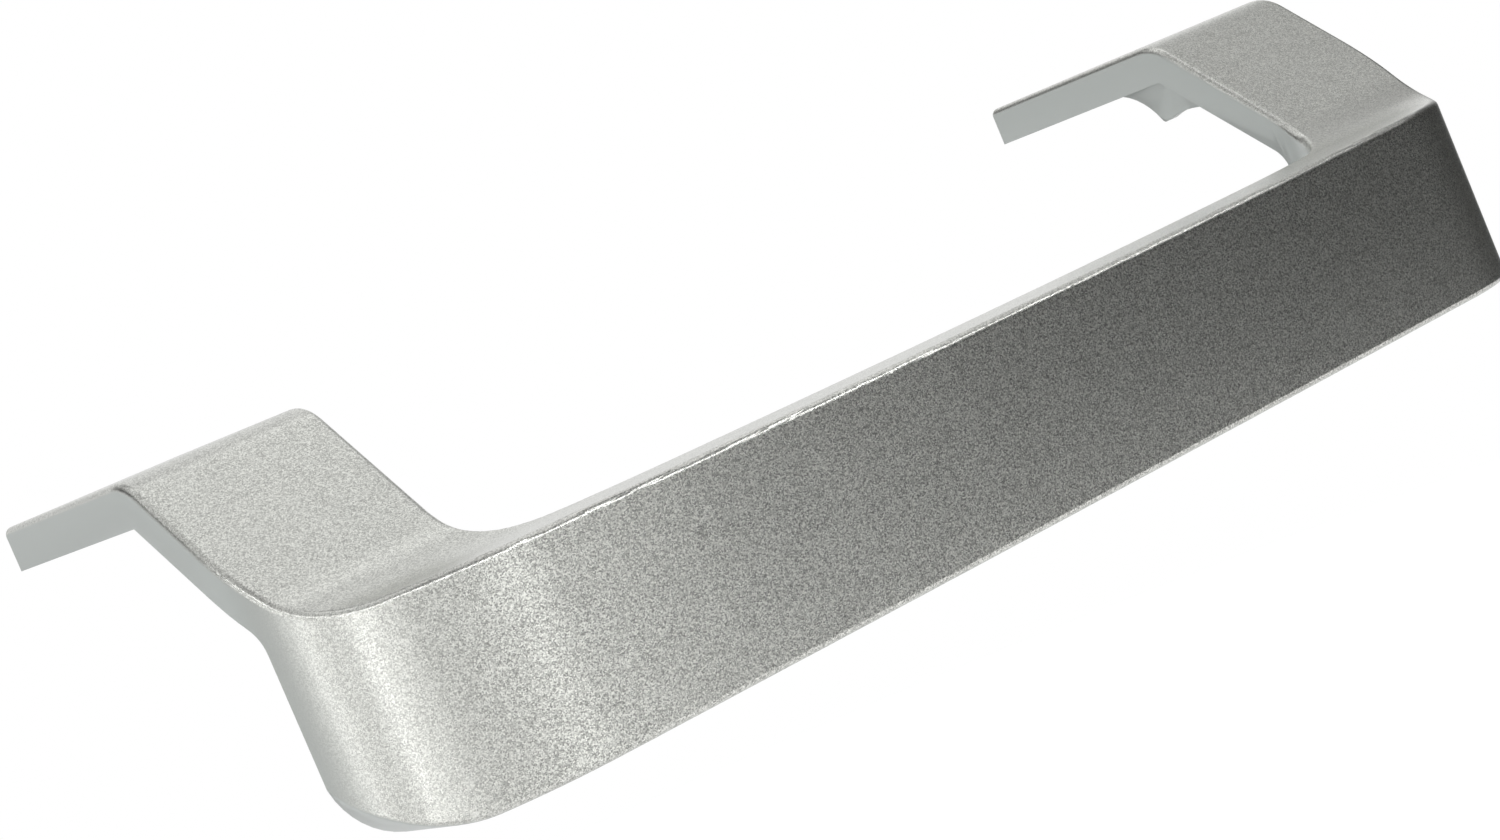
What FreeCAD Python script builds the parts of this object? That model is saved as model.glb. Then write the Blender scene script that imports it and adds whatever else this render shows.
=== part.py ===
import FreeCAD, Part
import math
import os

# Side-mounted refrigerator door handle, moulded in one piece, in millimetres.
# +X runs along the handle, +Y goes back from the grip to the flanges, +Z goes up.
# The origin is the centre of the four screw holes, on the plane of the flanges' rims.

V = FreeCAD.Vector

# Overall form, seen from above
LENGTH = 312.0              # over the flanges' free edges
LEG_WIDTH = 41.6
TIP_TO_SCREWS = 29.2        # from the flanges' free edge forward to the screw line
FLANGE_LENGTH = 61.5        # from the free edge forward to the peak line
PEAK_TO_FRONT = 72.7        # from the peak line forward to the front face at mid-length
FRONT_RADIUS = 640.0        # the front face is bowed along its length
END_RADIUS = 46.8           # plan corner between the front face and an end wall
END_DRAFT = 1.0             # degrees by which an end wall leans in towards the front
GRIP_DEPTH = 20.7
LEG_FILLET = 18.0           # plan fillet between a leg's inner side and the back of the grip

# Profile of a leg, seen from the end
FLANGE_THICKNESS = 8.8
GRIP_DROP = 26.0            # from the rim plane down to the upper face of the grip
GRIP_HEIGHT = 39.6          # at mid-length
WEB_SLOPE = 42.5            # degrees
PEAK_RADIUS = 13.0
HOLLOW_RADIUS = 28.0        # concave sweep from the web into the upper face of the grip
FLANGE_UNDERSIDE = 59.7     # from the free edge forward to the inner corner
END_WALL_BACK = 26.8        # from the peak line forward to the rear edge of an end wall
BEND_RISE = 0.6             # from the upper face of the grip up to the bend of the web's underside
BEND_RADIUS = 7.0

# Front view
SHOULDER_RADIUS = 16.5      # lower outer corners
SHOULDER_CLEAR = 0.2        # from an end wall's rear edge out to the upright that such a corner touches
LOWER_BOW_RADIUS = 4100.0   # the lower face sinks a little from mid-length towards the ends

# Edges
UPPER_EDGE_RADIUS = 1.6     # all round the upper outline, the lip of the front face among it
LOWER_EDGE_RADIUS = 1.2     # along the lower edge of the front face and its rounded ends

# Hollow back: the moulding is a shell, open below the flanges, behind the webs and behind the grip
WALL = 2.8
RIB = 1.8
RIB_SETBACK = 1.2           # ribs stop short of the open rim by this much
GRIP_RIBS = 9               # the outermost two carry on the legs' inner walls
WEB_RIBS = 2
WEB_RIB_PITCH = 17.0

# Blind screw holes in bosses under the flanges
SCREW_FROM_END = 21.25      # from the end of the flange to the screw line
SCREW_PITCH_Y = 24.0
SCREW_HOLE = 4.2
SCREW_DEPTH = 6.4
BOSS = 9.0

# Locating lug in the corner between flange and web, beside each leg's inner wall
LUG_THICKNESS = 3.2
LUG_BACK = 16.0             # from the inner corner back to where the lug leaves the rim
LUG_FRONT = 11.0            # from the inner corner forward to where it meets the web's rim
LUG_TIP = 6.0               # from the inner corner back to the tip
LUG_DROP = 9.2              # from the rim plane down to the tip
LUG_HOLLOW = 1.4            # how far the lug's two edges are hollowed
LUG_TIP_RADIUS = 1.2        # round the tip, seen from the end

TIP_Y = TIP_TO_SCREWS
PEAK_Y = TIP_Y - FLANGE_LENGTH
FRONT_Y = PEAK_Y - PEAK_TO_FRONT
CORNER_Y = TIP_Y - FLANGE_UNDERSIDE
WALL_BACK_Y = PEAK_Y - END_WALL_BACK
GRIP_TOP = -GRIP_DROP
GRIP_BOTTOM = GRIP_TOP - GRIP_HEIGHT
BEND_Z = GRIP_TOP + BEND_RISE
HALF = LENGTH / 2
LEG_SIDE = HALF - LEG_WIDTH
SCREW_X = HALF - SCREW_FROM_END
LEAN = math.radians(END_DRAFT)
FORWARD = V(-math.sin(LEAN), -math.cos(LEAN), 0)
INWARD = V(-math.cos(LEAN), math.sin(LEAN), 0)
FRONT_CENTRE = V(0, FRONT_Y + FRONT_RADIUS, 0)
END_TIP = V(HALF, TIP_Y, 0)
BEYOND = 20.0               # how far cutting shapes run past the body
LEVEL = 0.05                # an upright face's normal rises by less than this
SHARP = 0.3                 # radians, the least turn of an edge that is rounded


def arc(centre, radius, start, end):
    """Arc in the XY plane from angle start to angle end, in radians, by way of the middle angle."""
    points = [V(centre.x + radius * math.cos(a), centre.y + radius * math.sin(a), 0)
              for a in (start, (start + end) / 2, end)]
    return Part.Arc(*points).toShape(), points[0], points[2]


def polygon_edges(points):
    return [Part.makeLine(a, b) for a, b in zip(points, points[1:])]


def round_corners(points, radii):
    """Closed outline through points, each corner rounded by its own radius (0 for sharp)."""
    count = len(points)
    starts, ends, arcs = [], [], []
    for i, (corner, radius) in enumerate(zip(points, radii)):
        before = (points[i - 1] - corner).normalize()
        after = (points[(i + 1) % count] - corner).normalize()
        if radius == 0:
            starts.append(corner)
            ends.append(corner)
            arcs.append(None)
            continue
        half = math.acos(max(-1, min(1, before.dot(after)))) / 2
        reach = radius / math.tan(half)
        middle = (before + after).normalize()
        centre = corner + middle * (radius / math.sin(half))
        starts.append(corner + before * reach)
        ends.append(corner + after * reach)
        arcs.append(Part.Arc(starts[-1], centre - middle * radius, ends[-1]).toShape())
    edges = []
    for i in range(count):
        if arcs[i] is not None:
            edges.append(arcs[i])
        edges.append(Part.makeLine(ends[i], starts[(i + 1) % count]))
    return Part.Wire(edges)


def end_corner():
    """Centre of the plan corner, which lies END_RADIUS inside the end wall and inside the front arc."""
    base = END_TIP + INWARD * END_RADIUS - FRONT_CENTRE
    along = base.dot(FORWARD)
    free = (FRONT_RADIUS - END_RADIUS) ** 2 - base.dot(base) + along ** 2
    return FRONT_CENTRE + base + FORWARD * (math.sqrt(free) - along)


def wall_back_x():
    """Where the outside of an end wall has its rear edge, in X."""
    corner = end_corner()
    ahead = max(0, corner.y - WALL_BACK_Y)
    return corner.x + math.sqrt(END_RADIUS ** 2 - ahead ** 2)


def plan_outline(inset=0.0):
    """Outline from above: bowed front, rounded ends, two legs and the back of the grip."""
    corner = end_corner()
    towards_wall = math.atan2(-INWARD.y, -INWARD.x)
    towards_front = math.atan2(corner.y - FRONT_CENTRE.y, corner.x - FRONT_CENTRE.x)
    end_arc, wall_point, front_point = arc(corner, END_RADIUS - inset, towards_wall, towards_front)
    # The leg fillet touches the leg's inner side and the arc of the grip's back.
    fillet_x = LEG_SIDE - LEG_FILLET
    fillet_y = FRONT_CENTRE.y - math.sqrt((FRONT_RADIUS - GRIP_DEPTH - LEG_FILLET) ** 2 - fillet_x ** 2)
    fillet_centre = V(fillet_x, fillet_y, 0)
    down = math.atan2(fillet_y - FRONT_CENTRE.y, fillet_x)
    fillet_arc, side_point, back_point = arc(fillet_centre, LEG_FILLET + inset, 0, down)

    outer_tip = END_TIP + INWARD * inset + FORWARD * (inset * (1 - FORWARD.x) / -FORWARD.y)
    inner_tip = V(LEG_SIDE + inset, TIP_Y - inset, 0)
    right = [end_arc, fillet_arc] + polygon_edges([wall_point, outer_tip, inner_tip, side_point])
    left = [edge.mirror(V(0, 0, 0), V(1, 0, 0)) for edge in right]
    front = Part.Arc(V(-front_point.x, front_point.y, 0), V(0, FRONT_Y + inset, 0), front_point)
    back = Part.Arc(back_point, V(0, FRONT_Y + GRIP_DEPTH - inset, 0), V(-back_point.x, back_point.y, 0))
    edges = Part.sortEdges([front.toShape(), back.toShape()] + right + left)[0]
    return Part.Wire(edges)


def upper_line(inset=0.0):
    """Corner points of a leg's upper line in Y and Z, from the flange's free edge to the front."""
    slope = math.radians(WEB_SLOPE)
    top = FLANGE_THICKNESS - inset
    roof = GRIP_TOP - inset
    peak = V(0, PEAK_Y - inset * math.tan(slope / 2), top)
    foot = V(0, peak.y - (top - roof) / math.tan(slope), roof)
    return [V(0, TIP_Y, top), peak, foot, V(0, FRONT_Y - BEYOND, roof)]


def leg_profile():
    """Section of a leg from the end: flange, peak, concave web, grip and the bent underside."""
    points = upper_line() + [
        V(0, FRONT_Y - BEYOND, GRIP_BOTTOM - BEYOND), V(0, WALL_BACK_Y, GRIP_BOTTOM - BEYOND),
        V(0, WALL_BACK_Y, BEND_Z), V(0, CORNER_Y, 0), V(0, TIP_Y, 0)]
    return round_corners(points, [0, PEAK_RADIUS, HOLLOW_RADIUS, 0, 0, 0, BEND_RADIUS, 0, 0])


def hollow_profile():
    """Section of the hollow: a wall below the upper line, open behind and below."""
    floor = GRIP_BOTTOM - BEYOND
    points = upper_line(WALL) + [V(0, FRONT_Y - BEYOND, floor), V(0, TIP_Y, floor)]
    return round_corners(points, [0, PEAK_RADIUS - WALL, HOLLOW_RADIUS + WALL, 0, 0, 0])


def front_outline(inset=0.0):
    """Outline from the front: a slightly bowed lower line and rounded lower outer corners."""
    bow_centre = V(0, 0, GRIP_BOTTOM - LOWER_BOW_RADIUS)
    corner_x = wall_back_x() + SHOULDER_CLEAR - SHOULDER_RADIUS
    rise = math.sqrt((LOWER_BOW_RADIUS + SHOULDER_RADIUS) ** 2 - corner_x ** 2)
    corner = V(corner_x, 0, bow_centre.z + rise)
    radius = SHOULDER_RADIUS - inset
    down = (bow_centre - corner).normalize()
    slant = (down + V(1, 0, 0)).normalize()
    wall_point = corner + V(radius, 0, 0)
    low_point = corner + down * radius
    # Above the bend the outline steps out to the flange's end, clear of the corner's wall.
    top_point = V(HALF - inset, 0, FLANGE_THICKNESS + BEYOND)
    step = [top_point, V(top_point.x, 0, BEND_Z - BEND_RADIUS), V(wall_point.x, 0, BEND_Z - 2 * BEND_RADIUS),
            wall_point]
    right = polygon_edges(step) + [Part.Arc(wall_point, corner + slant * radius, low_point).toShape()]
    left = [edge.mirror(V(0, 0, 0), V(1, 0, 0)) for edge in right]
    lower = Part.Arc(low_point, V(0, 0, GRIP_BOTTOM + inset), V(-low_point.x, 0, low_point.z)).toShape()
    upper = Part.makeLine(top_point, V(-top_point.x, 0, top_point.z))
    return Part.Wire(Part.sortEdges([lower, upper] + right + left)[0])


def prism(wire, start, travel):
    face = Part.Face(wire)
    face.translate(start)
    return face.extrude(travel)


def upright(wire, low, high):
    return prism(wire, V(0, 0, low), V(0, 0, high - low))


def along_x(wire):
    return prism(wire, V(-HALF - BEYOND, 0, 0), V(LENGTH + 2 * BEYOND, 0, 0))


def along_y(wire):
    return prism(wire, V(0, FRONT_Y - BEYOND, 0), V(0, TIP_Y - FRONT_Y + 2 * BEYOND, 0))


def outer_body():
    """The solid that all three outlines share, its edges rounded."""
    plan = upright(plan_outline(), GRIP_BOTTOM - BEYOND, FLANGE_THICKNESS + BEYOND)
    body = plan.common(along_x(leg_profile())).common(along_y(front_outline()))
    body = body.removeSplitter().Solids[0]
    upper, lower = rim_edges(body)
    body = body.makeFillet(UPPER_EDGE_RADIUS, upper).Solids[0]
    upper, lower = rim_edges(body)
    return body.makeFillet(LOWER_EDGE_RADIUS, lower).Solids[0]


def normal_at(face, point):
    return face.normalAt(*face.Surface.parameter(point))


def rim_edges(body):
    """Sharp edges round the upper outline and down the flanges' corners, and along the lower front."""
    upper, lower = [], []
    for edge in body.Edges:
        sides = [face for face in body.Faces if any(edge.isSame(other) for other in face.Edges)]
        if len(sides) != 2:
            continue
        middle = edge.valueAt((edge.FirstParameter + edge.LastParameter) / 2)
        normals = [normal_at(face, middle) for face in sides]
        if normals[0].getAngle(normals[1]) < SHARP:
            continue
        low, high = sorted(normals, key=lambda normal: normal.z)
        if abs(low.z) < LEVEL and high.z > LEVEL:
            upper.append(edge)
        elif abs(low.z) < LEVEL and abs(high.z) < LEVEL and middle.y > TIP_Y - LEVEL:
            upper.append(edge)
        elif middle.z < GRIP_BOTTOM + SHOULDER_RADIUS / 2 and low.z < -SHARP and high.y < -LEVEL:
            lower.append(edge)
    return upper, lower


def hollow():
    """The space inside the shell. Behind the grip it is open between the legs' fillets."""
    plan = upright(plan_outline(WALL), GRIP_BOTTOM - BEYOND, FLANGE_THICKNESS)
    mouth_x = LEG_SIDE - LEG_FILLET
    mouth = Part.makeBox(2 * mouth_x, GRIP_DEPTH + BEYOND, GRIP_HEIGHT + BEYOND,
                         V(-mouth_x, FRONT_Y + GRIP_DEPTH / 2, GRIP_BOTTOM - BEYOND))
    space = plan.fuse(mouth).common(along_x(hollow_profile()))
    return space.common(along_y(front_outline(WALL)))


def slab(low, high):
    size = high - low
    return Part.makeBox(size.x, size.y, size.z, low)


def rib_slabs():
    """Cross ribs in the grip, and in each leg one rib along it and cross ribs under the web."""
    low = GRIP_BOTTOM - BEYOND
    top = FLANGE_THICKNESS
    slabs = []
    reach = LEG_SIDE + RIB / 2
    pitch = 2 * reach / (GRIP_RIBS - 1)
    for i in range(GRIP_RIBS):
        x = i * pitch - reach
        slabs.append(slab(V(x - RIB / 2, FRONT_Y, low), V(x + RIB / 2, WALL_BACK_Y, top)))
    for x in (-SCREW_X, SCREW_X):
        slabs.append(slab(V(x - RIB / 2, FRONT_Y, low), V(x + RIB / 2, TIP_Y, top)))
        side = math.copysign(1, x)
        inner, outer = sorted((side * (LEG_SIDE + WALL / 2), side * (HALF - WALL)))
        for i in range(WEB_RIBS):
            y = CORNER_Y - (i + 1) * WEB_RIB_PITCH
            slabs.append(slab(V(inner, y, low), V(outer, y + RIB, top)))
    return slabs


def screw_places():
    for x in (-SCREW_X, SCREW_X):
        for y in (-SCREW_PITCH_Y / 2, SCREW_PITCH_Y / 2):
            yield V(x, y, 0)


def lug(side):
    """Flat rib beside a leg's inner wall, with a rounded tip that reaches into the door's corner."""
    rim_slope = BEND_Z / (WALL_BACK_Y - CORNER_Y)
    back = V(0, CORNER_Y + LUG_BACK, 0)
    tip = V(0, CORNER_Y + LUG_TIP, -LUG_DROP)
    front = V(0, CORNER_Y - LUG_FRONT, -LUG_FRONT * rim_slope)
    root = [V(0, front.y, front.z + FLANGE_THICKNESS / 2), V(0, CORNER_Y, FLANGE_THICKNESS / 2),
            V(0, back.y, FLANGE_THICKNESS / 2)]

    def hollowed(a, b):
        chord = (b - a).normalize()
        out = V(0, -chord.z, chord.y)
        if out.z < 0:
            out = -out
        return Part.Arc(a, (a + b) * 0.5 + out * LUG_HOLLOW, b).toShape()

    edges = [hollowed(back, tip), hollowed(tip, front)] + polygon_edges([front] + root + [back])
    x = side * (LEG_SIDE + WALL)
    plate = prism(Part.Wire(edges), V(x, 0, 0), V(side * LUG_THICKNESS, 0, 0))
    blunt = [edge for edge in plate.Edges
             if all(abs(vertex.Z + LUG_DROP) < SHARP for vertex in edge.Vertexes)]
    return plate.makeFillet(LUG_TIP_RADIUS, blunt)


def build_handle():
    outer = outer_body()
    shell = outer.cut(hollow())
    # Ribs lie in the part of the body that is set back from its open side.
    set_back = outer.copy()
    set_back.translate(V(0, -RIB_SETBACK, RIB_SETBACK))
    room = outer.common(set_back)
    solids = [rib.common(room) for rib in rib_slabs()]
    for place in screw_places():
        solids.append(Part.makeCylinder(BOSS / 2, FLANGE_THICKNESS - WALL / 2, place))
    solids += [lug(-1), lug(1)]
    handle = shell.multiFuse(solids).removeSplitter()
    holes = [Part.makeCylinder(SCREW_HOLE / 2, SCREW_DEPTH, place) for place in screw_places()]
    return handle.cut(holes).Solids[0]


def main():
    os.makedirs("parts", exist_ok=True)
    build_handle().exportStep("parts/door_handle.step")


if __name__ == "__main__":
    main()
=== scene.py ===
"""Silver refrigerator door handle: its paint and bare back, the studio and the camera."""

import math

import bmesh
import bpy
from mathutils import Matrix, Vector
from mathutils.bvhtree import BVHTree


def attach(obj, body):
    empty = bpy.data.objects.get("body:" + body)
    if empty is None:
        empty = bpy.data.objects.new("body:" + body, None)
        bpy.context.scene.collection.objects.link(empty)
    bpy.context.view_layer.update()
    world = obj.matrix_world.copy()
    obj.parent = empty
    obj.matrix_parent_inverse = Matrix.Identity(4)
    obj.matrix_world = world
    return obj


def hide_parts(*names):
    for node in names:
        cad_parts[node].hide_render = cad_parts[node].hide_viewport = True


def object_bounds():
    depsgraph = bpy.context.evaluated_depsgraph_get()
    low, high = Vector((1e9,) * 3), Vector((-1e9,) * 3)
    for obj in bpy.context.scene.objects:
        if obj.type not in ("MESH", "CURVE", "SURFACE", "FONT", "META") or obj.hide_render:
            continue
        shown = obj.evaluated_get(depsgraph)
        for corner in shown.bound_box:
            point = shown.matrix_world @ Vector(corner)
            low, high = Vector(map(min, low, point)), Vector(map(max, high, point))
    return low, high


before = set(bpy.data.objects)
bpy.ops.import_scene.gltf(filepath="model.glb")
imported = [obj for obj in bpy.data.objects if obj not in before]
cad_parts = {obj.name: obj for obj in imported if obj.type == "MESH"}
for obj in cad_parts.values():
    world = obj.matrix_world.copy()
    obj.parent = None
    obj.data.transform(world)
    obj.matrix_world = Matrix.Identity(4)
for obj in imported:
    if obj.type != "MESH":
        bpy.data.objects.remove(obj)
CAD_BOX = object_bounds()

bl_info = {
    "name": "Refrigerator door handle",
    "version": (1, 0, 0),
    "blender": (4, 5, 0),
    "location": "3D View > Sidebar > Handle",
    "description": "Dresses the moulded handle in sparkling silver paint and sets the studio",
    "category": "Object",
}

NODE = "door_handle"
MM = 0.001

# Moulding
MERGE_WITHIN = 0.002 * MM
SHARP_ANGLE = math.radians(42)

# The back is left bare where walls stand round a point just in front of a face
STEP_AHEAD = 0.3 * MM
WALL_REACH = 60 * MM
WALLS_ROUND = 4

# Paint. A pair gives the least and the most.
SPRAY_EDGE = (0.12, 0.50)       # how far a face looks forward or up: first flakes, all flakes
FLAKE_LAYER = (0.5, 1.0)        # on the webs and on the front
FRONT_POWER = 4                 # how fast the layer thins out as the front turns up into the webs
METALLIC = (0.35, 0.95)         # on the sides and where it is sprayed
COAT_WEIGHT = 0.06
COAT_ROUGHNESS = 0.1

# Bare plastic
GRAIN_SCALE = 2500.0
GRAIN_STRENGTH = 0.15
GRAIN_HEIGHT = 0.2 * MM
CLOUD_SCALE = 60.0
BARE_TONE = (0.92, 1.08)
BARE_ROUGHNESS = (0.45, 0.60)

# Floor: its glow makes it white for the camera, but for the shadow, and grey in the paint
FLOOR_CORNERS = 96
FLOOR_COLOUR = (0.9, 0.9, 0.9)
FLOOR_GLOW = 1.17
GLOW_SEEN = 0.8
GLOW_MIRRORED = 0.35

# Backdrop: the way towards its middle, and the cosines at which it begins and is all white
BACKDROP_WAY = (0.366, 0.907, 0.208)
BACKDROP_EDGE = (0.70, 0.90)

# Camera: the photograph's place and viewing angle, in the row frame
CAMERA_PLACE = Vector((-0.3653, -0.5478, 0.0109))
CAMERA_RIGHT = Vector((0.75509, -0.52855, -0.3879))
CAMERA_UP = Vector((0.35758, -0.1639, 0.91939))
CAMERA_BACK = Vector((-0.54952, -0.83293, 0.06524))
CAMERA_LENS = 73.3
SENSOR_WIDTH = 36.0
CLIP_START = 10 * MM

# Lamps all face the handle from one distance. Turns are in degrees from +X, lifts in degrees above
# the level, and sizes in metres.
LAMP_DISTANCE = 2.0
LAMP_POWER = 4.0                # watts for each square metre, at brightness 1
# Ring of lamps level with the handle, side by side: turn, width, brightness
RING_HEIGHT = 1.8
RING_LAMPS = (
    (113, 0.6, 0.42), (130, 0.6, 0.66), (148, 0.6, 0.32), (158, 0.25, 0.55), (168, 0.15, 3.9),
    (180, 0.40, 0.85), (194, 0.13, 4.8), (206, 0.45, 1.00), (218, 0.4, 0.55), (232, 0.6, 0.62),
    (250, 0.7, 0.68), (268, 0.7, 0.92), (288, 0.8, 0.11),
)
# Narrow lamps in a row above the ring, which draw a bright line along the lip: turn, brightness
LIP_LIFT = 34
LIP_LAMP_SIZE = (0.9, 0.12)
LIP_LAMPS = (
    (-18, 2.2), (-45, 6.5), (-71, 10.0), (-97, 10.0), (-123, 8.0), (-149, 7.0), (-175, 6.0),
)
# Lamps above: name, turn, lift, width and height, brightness
HIGH_LAMPS = (
    ("rear_lamp", 42, 54, (1.0, 0.8), 0.38),
    ("far_web_lamp", 2, 45, (1.6, 0.8), 0.46),
    ("near_web_lamp", 3, 66, (1.6, 0.8), 0.74),
    ("top_lamp", 0, 89, (1.8, 1.0), 0.62),
    ("left_top_lamp", 150, 62, (1.8, 1.2), 0.62),
)


class Wire:
    """A shader socket that Python's operators join with Math nodes."""

    def __init__(self, paper, socket):
        self.paper = paper
        self.socket = socket

    def _math(self, operation, *values):
        return self.paper.node("ShaderNodeMath", {"operation": operation}, dict(enumerate(values)))

    def __add__(self, other):
        return self._math("ADD", self, other)

    def __sub__(self, other):
        return self._math("SUBTRACT", self, other)

    def __rsub__(self, other):
        return self._math("SUBTRACT", other, self)

    def __mul__(self, other):
        return self._math("MULTIPLY", self, other)

    def __pow__(self, other):
        return self._math("POWER", self, other)

    def __rpow__(self, other):
        return self._math("POWER", other, self)

    __radd__ = __add__
    __rmul__ = __mul__

    def larger(self, other):
        return self._math("MAXIMUM", self, other)

    def between(self, least, most):
        """Least where this is 0, most where it is 1."""
        return self * (most - least) + least

    def smoothstep(self, low, high):
        """0 below low and 1 above high, with a soft rise from one to the other."""
        return self.paper.node("ShaderNodeMapRange", {"interpolation_type": "SMOOTHSTEP"},
                               {"Value": self, "From Min": low, "From Max": high})


class Paper:
    """A node tree, on which nodes are drawn one call at a time."""

    def __init__(self, owner):
        self.owner = owner
        owner.use_nodes = True
        self.tree = owner.node_tree
        self.tree.nodes.clear()

    def node(self, kind, settings=None, inputs=None, output=0):
        """Adds a node: its settings first, then the values or links of its sockets."""
        made = self.tree.nodes.new(kind)
        for key, value in (settings or {}).items():
            setattr(made, key, value)
        for key, value in (inputs or {}).items():
            socket = made.inputs[key]
            if isinstance(value, Wire):
                self.tree.links.new(value.socket, socket)
            else:
                socket.default_value = value
        if not made.outputs:
            return made
        return Wire(self, made.outputs[output])

    def vector(self, operation, inputs, output=0):
        return self.node("ShaderNodeVectorMath", {"operation": operation}, inputs, output)

    def mix(self, blend, first, second, factor=1.0):
        """Mixes two colours. A Mix node takes them at sockets 6 and 7 and gives their mix at 2."""
        return self.node("ShaderNodeMix", {"data_type": "RGBA", "blend_type": blend},
                         {"Factor": factor, 6: first, 7: second}, output=2)

    def rays(self):
        """1 for rays from the camera, and 1 for those mirrored or let through; else 0."""
        seen, mirrored, passed = (
            self.node("ShaderNodeLightPath", output=kind)
            for kind in ("Is Camera Ray", "Is Glossy Ray", "Is Transmission Ray"))
        return seen, mirrored + passed

    def finish(self, shader):
        kind = "World" if isinstance(self.owner, bpy.types.World) else "Material"
        self.node("ShaderNodeOutput" + kind, None, {"Surface": shader})
        return self.owner


def colour(rgb):
    return (*rgb, 1.0)


class PaintSettings(bpy.types.PropertyGroup):
    colour: bpy.props.FloatVectorProperty(
        name="Paint colour", description="Body colour of the silver paint", subtype="COLOR",
        size=3, min=0, max=1, default=(0.57, 0.575, 0.545))
    flake: bpy.props.FloatProperty(
        name="Flake size", description="Width of one metal flake", unit="LENGTH",
        default=0.00022)
    sparkle: bpy.props.FloatProperty(
        name="Sparkle", description="How much the flakes differ in brightness", default=1.25)
    tilt: bpy.props.FloatProperty(
        name="Flake tilt", description="How far the flakes lean away from the surface",
        default=0.04)
    side_colour: bpy.props.FloatVectorProperty(
        name="Side colour", description="Colour of the smooth paint on the sides",
        subtype="COLOR", size=3, min=0, max=1, default=(0.425, 0.45, 0.435))
    roughness: bpy.props.FloatProperty(
        name="Roughness", description="Roughness of the paint", subtype="FACTOR", default=0.32)
    bare_colour: bpy.props.FloatVectorProperty(
        name="Bare plastic", description="Colour of the unpainted back", subtype="COLOR",
        size=3, min=0, max=1, default=(0.33, 0.335, 0.33))


class StudioSettings(bpy.types.PropertyGroup):
    drop: bpy.props.FloatProperty(
        name="Floor drop", description="From the handle's lowest point down to the floor",
        unit="LENGTH", default=0.25)
    floor_radius: bpy.props.FloatProperty(
        name="Floor radius", description="Radius of the round floor", unit="LENGTH", default=1.3)
    surround: bpy.props.FloatProperty(
        name="Surround", description="Brightness of the room round the handle", default=0.25)


def silver_paint(settings):
    """Metal flakes of uneven tilt and tone on what looks forward or up, and none on the sides."""
    paper = Paper(bpy.data.materials.new("silver_paint"))
    place = paper.node("ShaderNodeTexCoord", output="Object")
    upright = paper.node("ShaderNodeNewGeometry", output="Normal")
    along = paper.node("ShaderNodeSeparateXYZ", None, {"Vector": upright}, output="Y")
    above = paper.node("ShaderNodeSeparateXYZ", None, {"Vector": upright}, output="Z")
    sprayed = (along * -1).larger(above).smoothstep(*SPRAY_EDGE)

    cells = {"Vector": place, "Scale": 1 / settings.flake}
    flake = paper.node("ShaderNodeTexVoronoi", {"feature": "F1"}, cells, output="Color")
    centred = paper.vector("SUBTRACT", {0: flake, 1: (0.5, 0.5, 0.5)})
    tilt = paper.vector("SCALE", {0: centred, "Scale": sprayed * settings.tilt})
    leaning = paper.vector("ADD", {0: upright, 1: tilt})
    normal = paper.vector("NORMALIZE", {0: leaning})

    toss = paper.node("ShaderNodeSeparateColor", None, {"Color": flake})
    layer = (along ** FRONT_POWER).between(*FLAKE_LAYER)
    glint = (toss - 0.5) * sprayed * layer * settings.sparkle + 1.0
    flakes = paper.mix("MULTIPLY", colour(settings.colour), glint)
    body = paper.mix("MIX", colour(settings.side_colour), flakes, sprayed)
    return paper.finish(paper.node("ShaderNodeBsdfPrincipled", None, {
        "Base Color": body, "Metallic": sprayed.between(*METALLIC),
        "Roughness": settings.roughness, "Normal": normal,
        "Coat Weight": COAT_WEIGHT, "Coat Roughness": COAT_ROUGHNESS}))


def bare_plastic(settings):
    """Unpainted moulded plastic with a fine spark-eroded grain."""
    paper = Paper(bpy.data.materials.new("bare_plastic"))
    place = paper.node("ShaderNodeTexCoord", output="Object")
    grain = paper.node("ShaderNodeTexNoise", None,
                       {"Vector": place, "Scale": GRAIN_SCALE, "Detail": 2.0})
    cloud = paper.node("ShaderNodeTexNoise", None,
                       {"Vector": place, "Scale": CLOUD_SCALE, "Detail": 3.0})
    bump = paper.node("ShaderNodeBump", None, {
        "Height": grain, "Strength": GRAIN_STRENGTH, "Distance": GRAIN_HEIGHT})
    body = paper.mix("MULTIPLY", colour(settings.bare_colour), cloud.between(*BARE_TONE))
    return paper.finish(paper.node("ShaderNodeBsdfPrincipled", None, {
        "Base Color": body, "Roughness": cloud.between(*BARE_ROUGHNESS), "Normal": bump}))


def enclosed(tree, point):
    """True where walls stand round a point on most of its six sides."""
    walls = 0
    for axis in range(3):
        for sign in (-1.0, 1.0):
            way = Vector((0, 0, 0))
            way[axis] = sign
            walls += tree.ray_cast(point, way, WALL_REACH)[0] is not None
    return walls >= WALLS_ROUND


class HANDLE_OT_moulding(bpy.types.Operator):
    """Makes the smooth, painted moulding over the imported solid"""
    bl_idname = "handle.moulding"
    bl_label = "Moulding"

    def execute(self, context):
        settings = context.scene.handle_paint
        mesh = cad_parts[NODE].data.copy()
        mesh.name = "handle_moulding"
        body = bmesh.new()
        body.from_mesh(mesh)
        bmesh.ops.remove_doubles(body, verts=body.verts, dist=MERGE_WITHIN)
        tree = BVHTree.FromBMesh(body)
        for face in body.faces:
            face.smooth = True
            ahead = face.calc_center_median() + face.normal * STEP_AHEAD
            face.material_index = int(enclosed(tree, ahead))
        body.to_mesh(mesh)
        body.free()
        mesh.materials.clear()
        mesh.materials.append(silver_paint(settings))
        mesh.materials.append(bare_plastic(settings))
        mesh.set_sharp_from_angle(angle=SHARP_ANGLE)
        piece = bpy.data.objects.new("handle_moulding", mesh)
        context.scene.collection.objects.link(piece)
        piece.modifiers.new("even_normals", "WEIGHTED_NORMAL").keep_sharp = True
        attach(piece, "root")
        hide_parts(NODE)
        return {"FINISHED"}


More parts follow.
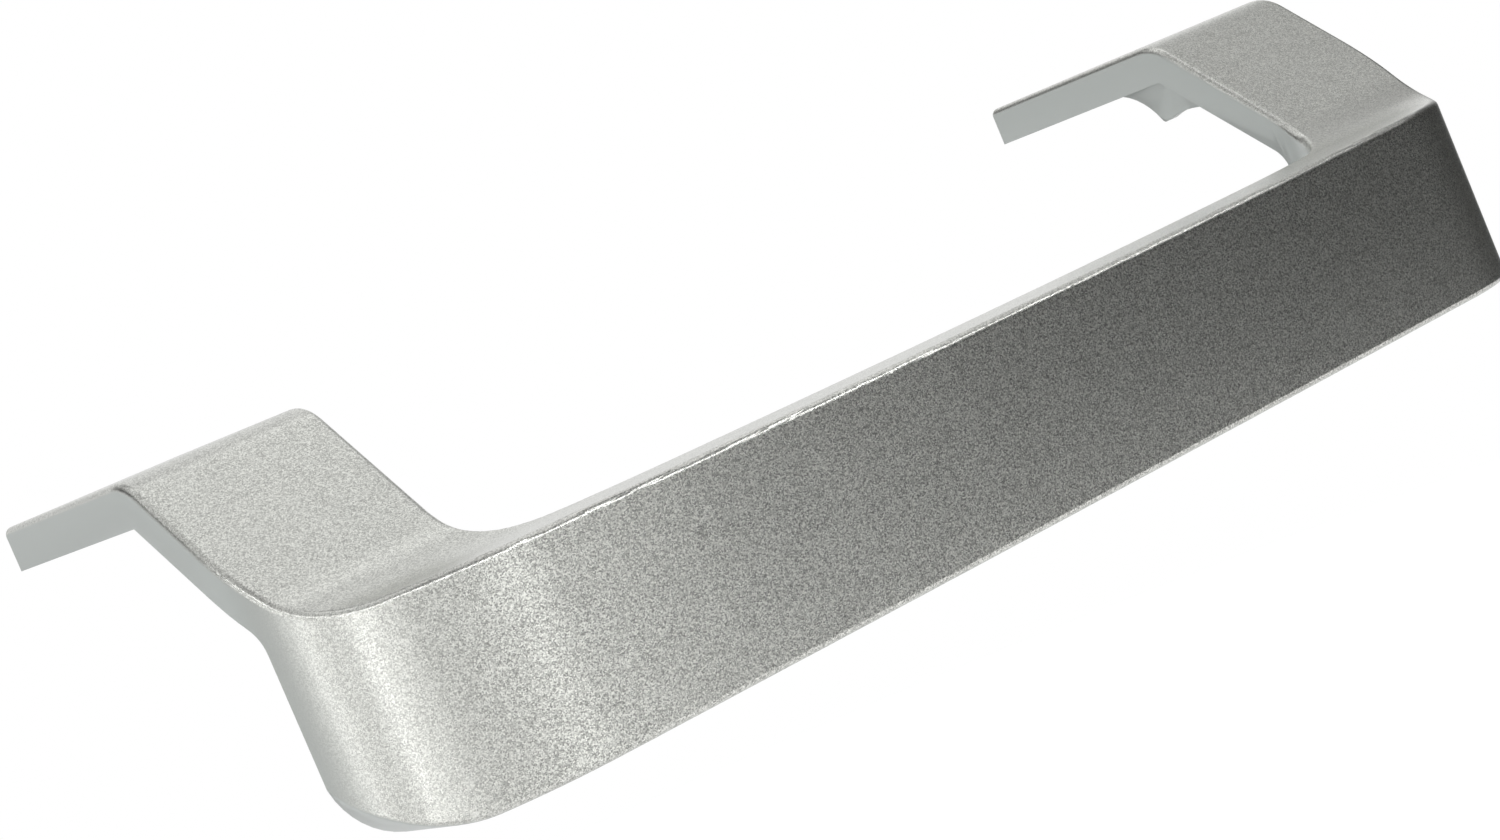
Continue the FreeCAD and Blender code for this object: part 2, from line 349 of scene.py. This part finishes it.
def lamp(context, name, turn, lift, size, brightness):
    """Adds a rectangular lamp that faces the handle."""
    data = bpy.data.lights.new(name, "AREA")
    data.shape = "RECTANGLE"
    data.size, data.size_y = size
    data.energy = brightness * LAMP_POWER * size[0] * size[1]
    made = bpy.data.objects.new(name, data)
    turn, lift = math.radians(turn), math.radians(lift)
    away = Vector((
        math.cos(turn) * math.cos(lift), math.sin(turn) * math.cos(lift), math.sin(lift)))
    made.location = away * LAMP_DISTANCE
    made.rotation_euler = (-away).to_track_quat("-Z", "Y").to_euler()
    context.scene.collection.objects.link(made)


def round_floor(settings):
    """A flat disc below the handle."""
    low = CAD_BOX[0][2] - settings.drop
    body = bmesh.new()
    bmesh.ops.create_circle(
        body, cap_ends=True, segments=FLOOR_CORNERS, radius=settings.floor_radius,
        matrix=Matrix.Translation((0, 0, low)))
    mesh = bpy.data.meshes.new("studio_floor")
    body.to_mesh(mesh)
    body.free()
    paper = Paper(bpy.data.materials.new("pale_floor"))
    seen, mirrored = paper.rays()
    matt = paper.node("ShaderNodeBsdfDiffuse", None, {"Color": colour(FLOOR_COLOUR)})
    glow = paper.node("ShaderNodeEmission", None, {"Strength": FLOOR_GLOW})
    share = seen * GLOW_SEEN + mirrored * GLOW_MIRRORED
    mesh.materials.append(paper.finish(
        paper.node("ShaderNodeMixShader", None, {0: share, 1: matt, 2: glow})))
    return bpy.data.objects.new("studio_floor", mesh)


def studio_room(settings):
    """White for the camera, a white backdrop in the paint, and else a grey that fills shadows."""
    paper = Paper(bpy.data.worlds.new("studio_room"))
    seen, mirrored = paper.rays()
    way = paper.node("ShaderNodeTexCoord", output="Generated")
    behind = paper.vector("DOT_PRODUCT", {0: way, 1: BACKDROP_WAY}, output="Value")
    backdrop = behind.smoothstep(*BACKDROP_EDGE)
    white = paper.node("ShaderNodeClamp", None, {"Value": seen + mirrored * backdrop})
    fill = (1 - (seen + mirrored)) * settings.surround
    return paper.finish(paper.node(
        "ShaderNodeBackground", None, {"Color": (1, 1, 1, 1), "Strength": white + fill}))


def photo_camera():
    data = bpy.data.cameras.new("photo_camera")
    data.sensor_width = SENSOR_WIDTH
    data.sensor_fit = "HORIZONTAL"
    data.lens = CAMERA_LENS
    data.clip_start = CLIP_START
    camera = bpy.data.objects.new("photo_camera", data)
    turn = Matrix((CAMERA_RIGHT, CAMERA_UP, CAMERA_BACK)).transposed()
    camera.matrix_world = Matrix.Translation(CAMERA_PLACE) @ turn.to_4x4()
    return camera


class HANDLE_OT_studio(bpy.types.Operator):
    """Sets the pale floor, the soft lamps and the camera"""
    bl_idname = "handle.studio"
    bl_label = "Studio"

    def execute(self, context):
        scene = context.scene
        floor = round_floor(scene.handle_studio)
        scene.collection.objects.link(floor)
        scene.world = studio_room(scene.handle_studio)
        for turn, width, brightness in RING_LAMPS:
            lamp(context, "ring_lamp_%d" % turn, turn, 0, (width, RING_HEIGHT), brightness)
        for turn, brightness in LIP_LAMPS:
            lamp(context, "lip_lamp_%d" % -turn, turn, LIP_LIFT, LIP_LAMP_SIZE, brightness)
        for name, turn, lift, size, brightness in HIGH_LAMPS:
            lamp(context, name, turn, lift, size, brightness)
        scene.camera = photo_camera()
        scene.collection.objects.link(scene.camera)
        scene.view_settings.view_transform = "Standard"
        return {"FINISHED"}


class HANDLE_PT_panel(bpy.types.Panel):
    bl_idname = "HANDLE_PT_panel"
    bl_label = "Door handle"
    bl_space_type = "VIEW_3D"
    bl_region_type = "UI"
    bl_category = "Handle"

    def draw(self, context):
        for settings, operator in ((context.scene.handle_paint, HANDLE_OT_moulding),
                                   (context.scene.handle_studio, HANDLE_OT_studio)):
            for name in settings.bl_rna.properties.keys():
                if name not in ("rna_type", "name"):
                    self.layout.prop(settings, name)
            self.layout.operator(operator.bl_idname)


CLASSES = (PaintSettings, StudioSettings, HANDLE_OT_moulding, HANDLE_OT_studio, HANDLE_PT_panel)


def register():
    for cls in CLASSES:
        bpy.utils.register_class(cls)
    bpy.types.Scene.handle_paint = bpy.props.PointerProperty(type=PaintSettings)
    bpy.types.Scene.handle_studio = bpy.props.PointerProperty(type=StudioSettings)


def unregister():
    del bpy.types.Scene.handle_studio
    del bpy.types.Scene.handle_paint
    for cls in reversed(CLASSES):
        bpy.utils.unregister_class(cls)


def main():
    register()
    bpy.ops.handle.moulding()
    bpy.ops.handle.studio()


if __name__ == "__main__":
    main()
